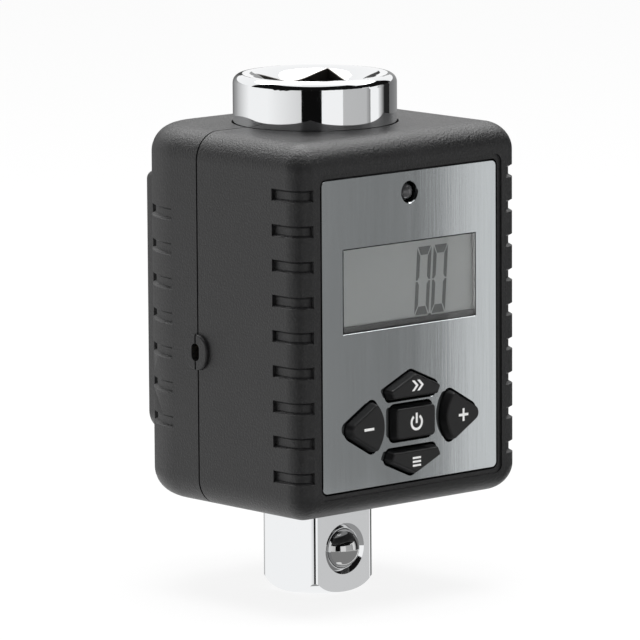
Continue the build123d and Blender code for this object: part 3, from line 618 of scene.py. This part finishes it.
class ADAPTER_OT_display(bpy.types.Operator):
    """Finish the display and its window, and add the digits"""
    bl_idname = "adapter.display"
    bl_label = "Display"

    def execute(self, context):
        s = context.scene.adapter_display
        ink = grained("display_ink", scaled(s.ink, 0.9), scaled(s.ink, 1.2), 0.12 * MM, MICRON,
                      0.35)
        mesh = bmesh.new()
        ink_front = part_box("display_panel")[0].y - INK_THICK
        for shape in digit_shapes(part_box("display_window")[0].z + s.base_rise, s):
            flat_shape(mesh, shape, ink_front, INK_THICK * 0.9)
        tidy_normals(mesh)
        finish_piece("display_digits", mesh, ink, "housing")

        ground = grained("display_ground", scaled(s.ground, 0.95), scaled(s.ground, 1.06),
                         0.16 * MM, MICRON, 0.42)
        paint(ground, "display_panel")
        window, tree, shader, where = begin_material("clear_window", Base_Color=(0.97, 0.98, 0.98),
                                                     IOR=1.46, Transmission_Weight=1.0)
        handled(tree, shader, where, 0.015, 0.03, MICRON)
        paint(window, "display_window")
        paint_finishes(DISPLAY_FINISHES)
        return {"FINISHED"}


# ---------------------------------------------------------------------------------------------
# Keys
# ---------------------------------------------------------------------------------------------
KEYS = ("power", "upper", "lower", "plus", "minus")
PLUNGER_FINISH = Finish("plunger_nylon", (0.45, 0.4, 0.32), (0.55, 0.5, 0.42), 0.4, 3, 0.45,
                        tuple(key + "_plunger" for key in KEYS))
RING_STEPS = 40


def power_symbol(x, z, s):
    """An open ring with an upright bar in its gap."""
    ring = arc_band(x, z, s.ring_radius, s.stroke, s.ring_gap, 2 * pi - s.ring_gap, RING_STEPS)
    return [ring, rectangle(x, z + s.ring_radius * 0.62, s.stroke, s.ring_radius * 1.5)]


def minus_symbol(x, z, s):
    return [rectangle(x, z, s.bar, s.stroke)]


def plus_symbol(x, z, s):
    arm, half = s.bar / 2, s.stroke / 2
    quarter = [(half, arm), (half, half), (arm, half)]
    corners = []
    for _ in range(4):
        corners += quarter
        quarter = [(b, -a) for a, b in quarter]         # a quarter turn clockwise
    return [[(x + a, z + b) for a, b in corners]]


def chevron_symbol(x, z, s):
    """Two chevrons that point to the right."""
    step, thick = s.bar * 0.42, s.stroke * 1.3
    chevron = [(-step, -step), (0, 0), (-step, step), (-step - thick, step), (-thick, 0),
               (-step - thick, -step)]
    return [[(x + shift + a, z + b) for a, b in chevron] for shift in (s.bar * 0.2, s.bar * 0.75)]


def rows_symbol(x, z, s):
    """Three level bars."""
    return [rectangle(x, z + row * s.stroke * 1.5, s.bar * 0.85, s.stroke * 0.8)
            for row in (-1, 0, 1)]


SYMBOLS = {"power": power_symbol, "upper": chevron_symbol, "lower": rows_symbol,
           "plus": plus_symbol, "minus": minus_symbol}


class ADAPTER_OT_keys(bpy.types.Operator):
    """Finish the rubber keys and print their symbols"""
    bl_idname = "adapter.keys"
    bl_label = "Keys"

    def execute(self, context):
        s = context.scene.adapter_keys
        rubber = grained("key_rubber", s.rubber, scaled(s.rubber, 1.5), 0.22 * MM, 5 * MICRON, 0.43,
                         0.1)
        ink = grained("symbol_ink", scaled(s.print_white, 0.96), s.print_white, 0.3 * MM, MICRON,
                      0.4)
        for key in KEYS:
            paint(rubber, key + "_key")
            centre = centre_of(key + "_key")
            mesh = bmesh.new()
            for outline in SYMBOLS[key](centre.x, centre.z, s):
                flat_shape(mesh, outline, KEY_FRONT - s.ink, s.ink * 1.5)
            tidy_normals(mesh)
            finish_piece(key + "_symbol", mesh, ink, key)
        paint_finishes((PLUNGER_FINISH,))
        return {"FINISHED"}


# ---------------------------------------------------------------------------------------------
# Board, buzzer, cells and leads
# ---------------------------------------------------------------------------------------------
INSIDE_FINISHES = (
    Finish("chip_resin", (0.012, 0.012, 0.013), grey(0.03), 0.2, 3, 0.5,
           ("controller_chip", "amplifier_chip")),
    Finish("switch_plastic", grey(0.02), grey(0.035), 0.3, 3, 0.45, ("key_switches",)),
    Finish("crystal_can", (0.55, 0.55, 0.53), (0.68, 0.68, 0.66), (3000, 300, 300), 1, 0.25,
           ("clock_crystal",)),
    Finish("capacitor_ceramic", (0.28, 0.19, 0.1), (0.4, 0.3, 0.19), 0.2, 2, 0.5, ("capacitors",)),
    Finish("buzzer_brass", (0.62, 0.44, 0.17), (0.75, 0.56, 0.26), (300, 2600, 2600), 1.5, 0.25,
           ("buzzer",)),
    Finish("contact_nickel", (0.6, 0.58, 0.54), (0.74, 0.72, 0.68), (2400, 200, 200), 1.5, 0.22,
           ("cell_plates",)),
    Finish("lead_sleeve", (0.33, 0.018, 0.014), (0.45, 0.04, 0.03), 0.5, 3, 0.45,
           ("battery_leads", "gauge_leads", "buzzer_lead")),
)

# Bands along a cell, as shares of its length from the flat end, and how soft their edges are.
JACKET_BAND = (0.012, 0.945, 0.003)
SHOULDER_BAND = (0.69, 0.945, 0.004)
LINE_BAND = (0.665, 0.685, 0.003)


def board_material():
    """Green solder mask over faint copper tracks."""
    material, tree, shader, where = begin_material("solder_mask", Coat_Weight=0.4,
                                                   Coat_Roughness=0.1)
    tracks = add_node(tree, "ShaderNodeTexBrick", {
        "Vector": mapped(tree, where, Rotation=(radians(90), 0, 0)), "Scale": 420.0,
        "Mortar Size": 0.06, "Mortar Smooth": 0.2, "Brick Width": 1.7, "Row Height": 0.6,
        "Color1": (0.008, 0.06, 0.025), "Color2": (0.01, 0.075, 0.03),
        "Mortar": (0.02, 0.13, 0.05)})
    polish = place_group(tree, "handling", {"Vector": where, "Roughness": 0.28, "Marks": 0.1})
    feed(tree, shader, Base_Color=tracks.outputs["Color"], Roughness=polish.outputs["Roughness"])
    bump(tree, shader, tracks.outputs["Fac"], 8 * MICRON)
    return material


def jacket_material(name, low, high, nub_up):
    """A cell's dark jacket, with a coppery shoulder at its nub, a pale line and uncovered steel
    ends.
    """
    material, tree, shader, where = begin_material(name)
    height = split_xyz(tree, where)[2]
    share = ramp(tree, height, low, high) if nub_up else ramp(tree, height, high, low)
    shoulder = band(tree, share, *SHOULDER_BAND)
    line = band(tree, share, *LINE_BAND)
    jacket = band(tree, share, *JACKET_BAND)
    grain = ramp(tree, noise(tree, where, 900.0, 3.0), 0.3, 0.7)
    shade = blend_colours(tree, grain, (0.018, 0.02, 0.026), (0.028, 0.03, 0.038))
    shade = blend_colours(tree, shoulder, shade, (0.62, 0.27, 0.09))
    shade = blend_colours(tree, line, shade, (0.7, 0.7, 0.68))
    shade = blend_colours(tree, jacket, (0.62, 0.61, 0.58), shade)
    bare_and_painted_shade = maths(tree, "SUBTRACT", 1.0, jacket)
    metal = maths(tree, "MAXIMUM", bare_and_painted_shade, maths(tree, "MULTIPLY", shoulder, 0.8))
    polish = place_group(tree, "handling", {"Vector": where, "Roughness": 0.27, "Marks": 0.15})
    feed(tree, shader, Base_Color=shade, Metallic=metal, Roughness=polish.outputs["Roughness"])
    bump(tree, shader, line, (high - low) * 0.0004)
    return material


class ADAPTER_OT_inside(bpy.types.Operator):
    """Finish the board, its parts, the buzzer, the contacts and the leads"""
    bl_idname = "adapter.inside"
    bl_label = "Electronics"

    def execute(self, context):
        paint(board_material(), "main_board")
        paint_finishes(INSIDE_FINISHES)
        return {"FINISHED"}


class ADAPTER_OT_cells(bpy.types.Operator):
    """Finish the two cells with plain jackets"""
    bl_idname = "adapter.cells"
    bl_label = "Cells"

    def execute(self, context):
        for name, nub_up in (("left_cell", True), ("right_cell", False)):
            low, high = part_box(name)
            paint(jacket_material(name + "_jacket", low.z, high.z, nub_up), name)
        return {"FINISHED"}


# ---------------------------------------------------------------------------------------------
# Studio
# ---------------------------------------------------------------------------------------------
# Cards: bearings of both ends from the camera's and to the right, lower and upper rise above the
# horizon, all in degrees, and the strength at each end.
BLACK = (0.006, 0.006)
CARDS = {
    "camera_flag": (-18.6, 9.4, -16, 12, (0.004, 0.004)),
    "left_fade": (-70, -18.6, -16, 12, (1.0, 0.72)),
    "grey_card": (39.5, 77, -12.8, 12, (0.54, 0.52)),
    "grey_card_edge": (77, 83.9, -12.8, 12, (0.46, 0.27)),
    "low_card": (39.5, 95, -17, -12.8, (0.62, 0.62)),
    "edge_fade": (100, 113, -16, 15, (0.85, 0.05)),
    "edge_flag": (113, 128, -16, 15, (0.02, 0.02)),
    "right_back_card": (128, 179, -16, 15, (0.16, 0.36)),
    "left_back_card": (-179, -140, -16, 15, (0.05, 0.42)),
    "left_edge_fade": (-140, -105, -16, 15, (0.45, 1.0)),
    "valance": (-100, 70, 12, 58, BLACK),
    "side_valance": (70, 137, 15, 42, BLACK),
    "table_card": (-60, 137, -80, -17, (0.3, 0.3)),
    "top_card": (95, 265, 44, 82, (5.0, 5.0)),
}
CARD_COLUMNS, CARD_ROWS = 24, 8
FLOOR_HALF = 6.0                    # metres
LAMP_PLACE = (-20.0 * MM, -30.0 * MM)
SENSOR_WIDTH = 36.0
CLIP = (0.05, 50.0)
UP = Vector((0, 0, 1))


def stage_object(name, mesh, material):
    """Turns a bmesh into a piece of the studio."""
    data = bpy.data.meshes.new(name)
    mesh.to_mesh(data)
    mesh.free()
    data.materials.append(material)
    item = bpy.data.objects.new(name, data)
    bpy.context.scene.collection.objects.link(item)
    return item


def glow_material(name, start, end, strengths, camera_azimuth):
    """A card's own light, which runs from one strength to the other round the adapter."""
    material = bpy.data.materials.new(name)
    material.use_nodes = True
    tree = material.node_tree
    tree.nodes.clear()
    where = tree.nodes.new("ShaderNodeTexCoord").outputs["Object"]
    x, y, _ = split_xyz(tree, mapped(tree, where, Rotation=(0, 0, -camera_azimuth)))
    bearing = maths(tree, "ARCTAN2", x, maths(tree, "MULTIPLY", y, -1.0))
    strength = ramp(tree, bearing, start, end, *strengths)
    glow = add_node(tree, "ShaderNodeEmission", {"Color": (1, 1, 1), "Strength": strength})
    feed(tree, tree.nodes.new("ShaderNodeOutputMaterial"), Surface=glow.outputs[0])
    return material


def curved_card(name, s, start, end, low, high, strengths):
    """A card bent round the adapter, which shows in reflections only."""
    mesh = bmesh.new()

    def place(turn, rise):
        bearing = s.azimuth + turn
        flat = s.card_radius * cos(rise)
        return (flat * sin(bearing), -flat * cos(bearing), s.aim_height + s.card_radius * sin(rise))

    grid = [[mesh.verts.new(place(start + (end - start) * i / CARD_COLUMNS,
                                  low + (high - low) * j / CARD_ROWS))
             for i in range(CARD_COLUMNS + 1)] for j in range(CARD_ROWS + 1)]
    for lower, upper in zip(grid, grid[1:]):
        for i in range(CARD_COLUMNS):
            mesh.faces.new((lower[i], lower[i + 1], upper[i + 1], upper[i]))
    glow = glow_material(name + "_shade", start, end, strengths, s.azimuth)
    card = stage_object(name, mesh, glow)
    card.visible_camera = False
    card.visible_diffuse = False
    card.visible_shadow = False


def floor_material(paper):
    """Pale floor that the camera sees as white paper, with the object's shadow left in."""
    material, tree, shader, where = begin_material("paper_floor", Roughness=0.9,
                                                   Specular_IOR_Level=0.0,
                                                   Emission_Color=(1, 1, 1))
    fibre = noise(tree, where, 900.0, 3.0)
    seen = tree.nodes.new("ShaderNodeLightPath").outputs["Is Camera Ray"]
    white = blend_colours(tree, fibre, grey(0.83), grey(0.86))
    feed(tree, shader, Base_Color=blend_colours(tree, seen, white, grey(1.0 - paper)),
         Emission_Strength=maths(tree, "MULTIPLY", seen, paper))
    return material


def light_world(strength):
    """Plain light from all round; white where the camera, metal or glass sees it."""
    world = bpy.data.worlds.new("studio")
    world.use_nodes = True
    bpy.context.scene.world = world
    tree = world.node_tree
    path = tree.nodes.new("ShaderNodeLightPath").outputs
    through = maths(tree, "MAXIMUM", path["Is Glossy Ray"], path["Is Transmission Ray"])
    seen = maths(tree, "MAXIMUM", path["Is Camera Ray"], through)
    background = tree.nodes["Background"]
    background.inputs["Color"].default_value = (1, 1, 1, 1)
    extra = maths(tree, "MULTIPLY", seen, 1.0 - strength)
    feed(tree, background, Strength=maths(tree, "ADD", extra, strength))


def hang_lamp(scene, s):
    """A soft round light overhead, which metal doesn't mirror."""
    light = bpy.data.lights.new("top_light", "AREA")
    light.shape = "DISK"
    light.size = s.lamp_size
    light.energy = s.lamp_power
    lamp = bpy.data.objects.new("top_light", light)
    lamp.location = (*LAMP_PLACE, s.lamp_height)
    aim = Vector((0, 0, s.aim_height)) - lamp.location
    lamp.rotation_euler = aim.to_track_quat("-Z", "Y").to_euler()
    lamp.visible_glossy = False
    scene.collection.objects.link(lamp)


def place_camera(scene, s):
    data = bpy.data.cameras.new("camera")
    data.sensor_width = SENSOR_WIDTH
    data.lens = s.lens
    data.clip_start, data.clip_end = CLIP
    camera = bpy.data.objects.new("camera", data)
    scene.collection.objects.link(camera)
    back = Vector((sin(s.azimuth) * cos(s.elevation), -cos(s.azimuth) * cos(s.elevation),
                   sin(s.elevation)))
    right = (-back).cross(UP).normalized()
    up = right.cross(-back)
    turned = Matrix((right, up, back)).transposed() @ Matrix.Rotation(s.roll, 3, "Z")
    target = Vector((0, 0, s.aim_height)) + right * s.aim_right + up * s.aim_up
    camera.matrix_world = Matrix.Translation(target + back * s.distance) @ turned.to_4x4()
    scene.camera = camera


class ADAPTER_OT_stage(bpy.types.Operator):
    """Set the floor, the lights, the cards and the camera"""
    bl_idname = "adapter.stage"
    bl_label = "Stage"

    def execute(self, context):
        s = context.scene.adapter_studio
        mesh = bmesh.new()
        bmesh.ops.create_grid(mesh, x_segments=1, y_segments=1, size=FLOOR_HALF)
        floor = stage_object("floor", mesh, floor_material(s.paper))
        floor.visible_glossy = False
        light_world(s.sky)
        for name, (*angles, strengths) in CARDS.items():
            curved_card(name, s, *map(radians, angles), strengths)
        hang_lamp(context.scene, s)
        place_camera(context.scene, s)
        context.scene.view_settings.view_transform = "Standard"
        return {"FINISHED"}


# ---------------------------------------------------------------------------------------------
# Panel and registration
# ---------------------------------------------------------------------------------------------
OPERATORS = (ADAPTER_OT_housing, ADAPTER_OT_shaft, ADAPTER_OT_fascia, ADAPTER_OT_display,
             ADAPTER_OT_keys, ADAPTER_OT_inside, ADAPTER_OT_cells, ADAPTER_OT_stage)


class ADAPTER_PT_panel(bpy.types.Panel):
    """Lists what the adapter is finished with"""
    bl_idname = "ADAPTER_PT_panel"
    bl_label = "Torque Adapter"
    bl_space_type = "VIEW_3D"
    bl_region_type = "UI"
    bl_category = "Adapter"

    def draw(self, context):
        for operator in OPERATORS:
            self.layout.operator(operator.bl_idname)


def register():
    for item in (*SETTINGS.values(), *OPERATORS, ADAPTER_PT_panel):
        bpy.utils.register_class(item)
    for name, settings in SETTINGS.items():
        setattr(bpy.types.Scene, name, PointerProperty(type=settings))


def unregister():
    for name in SETTINGS:
        delattr(bpy.types.Scene, name)
    for item in reversed((*SETTINGS.values(), *OPERATORS, ADAPTER_PT_panel)):
        bpy.utils.unregister_class(item)


def main():
    register()
    for operator in OPERATORS:
        group_name, call = operator.bl_idname.split(".")
        getattr(getattr(bpy.ops, group_name), call)()


if __name__ == "__main__":
    main()
